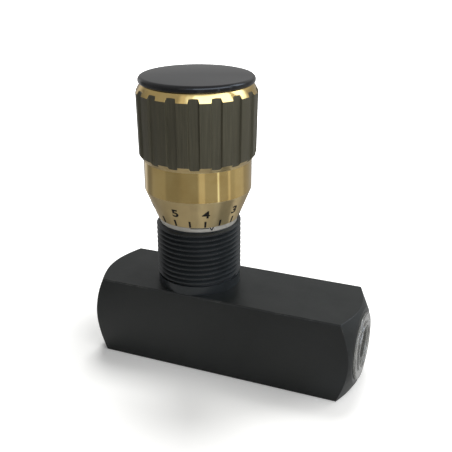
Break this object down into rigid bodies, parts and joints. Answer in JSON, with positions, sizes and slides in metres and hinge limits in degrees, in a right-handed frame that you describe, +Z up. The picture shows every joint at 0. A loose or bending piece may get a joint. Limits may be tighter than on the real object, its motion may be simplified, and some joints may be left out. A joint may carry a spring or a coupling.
{
  "type": "one-way flow control valve",
  "caption": "Inline one-way flow control valve: square bar body with threaded ports, a threaded neck, and a brass knob with a scale cone that turns a needle spindle.",
  "frame": {"origin": "on the body's flat base, under the spindle's axis", "axes": "+Z up along the spindle, +X along the ports towards the plugged port, +Y away from the picture's camera"},
  "size_m": [0.0826, 0.0341, 0.0875],
  "materials": {
    "black_steel": "satin",
    "knob_brass": "satin",
    "cap_plastic": "gloss",
    "sleeve_aluminium": "satin",
    "bright_steel": "satin",
    "spring_steel": "satin",
    "seal_rubber": "matte",
    "white_plastic": "matte",
    "plug_plastic": "satin"
  },
  "bodies": {
    "valve": {"valve_body": "black_steel", "bonnet": "black_steel", "bonnet_o_ring": "seal_rubber", "scale_sleeve": "sleeve_aluminium", "wiper_ring": "seal_rubber", "spring_seat": "bright_steel", "retaining_ring": "spring_steel", "check_spring": "spring_steel"},
    "seals": {"spindle_o_ring": "seal_rubber", "backup_ring": "white_plastic"},
    "control": {"spindle": "bright_steel", "stop_ring": "spring_steel", "knob": "knob_brass", "knob_washer": "bright_steel", "knob_screw": "spring_steel", "knob_cap": "cap_plastic", "lock_screw": "spring_steel", "lock_pad": "white_plastic"},
    "poppet": {"check_poppet": "bright_steel"},
    "plug": {"port_plug": "plug_plastic"}
  },
  "joints": [
    {"name": "spindle_lift", "type": "slide", "parent": "valve", "child": "seals", "axis": [0, 0, 1], "range_m": [-0.00142, 0.00259]},
    {"name": "knob_turn", "type": "hinge", "parent": "seals", "child": "control", "pos_m": [0, 0, 0.067], "axis": [0, 0, 1], "range_deg": [-510, 930]},
    {"name": "check_open", "type": "slide", "parent": "valve", "child": "poppet", "axis": [1, 0, 0], "range_m": [0, 0.003], "stiffness_N_per_m": 860, "springref_m": -0.0025, "deforming": ["check_spring"]},
    {"name": "plug_pull", "type": "slide", "parent": "valve", "child": "plug", "axis": [1, 0, 0], "range_m": [0, 0.012]}
  ],
  "couplings": [
    {"joint": "spindle_lift", "follows": "knob_turn", "m_per_rad": 0.00015915}
  ]
}
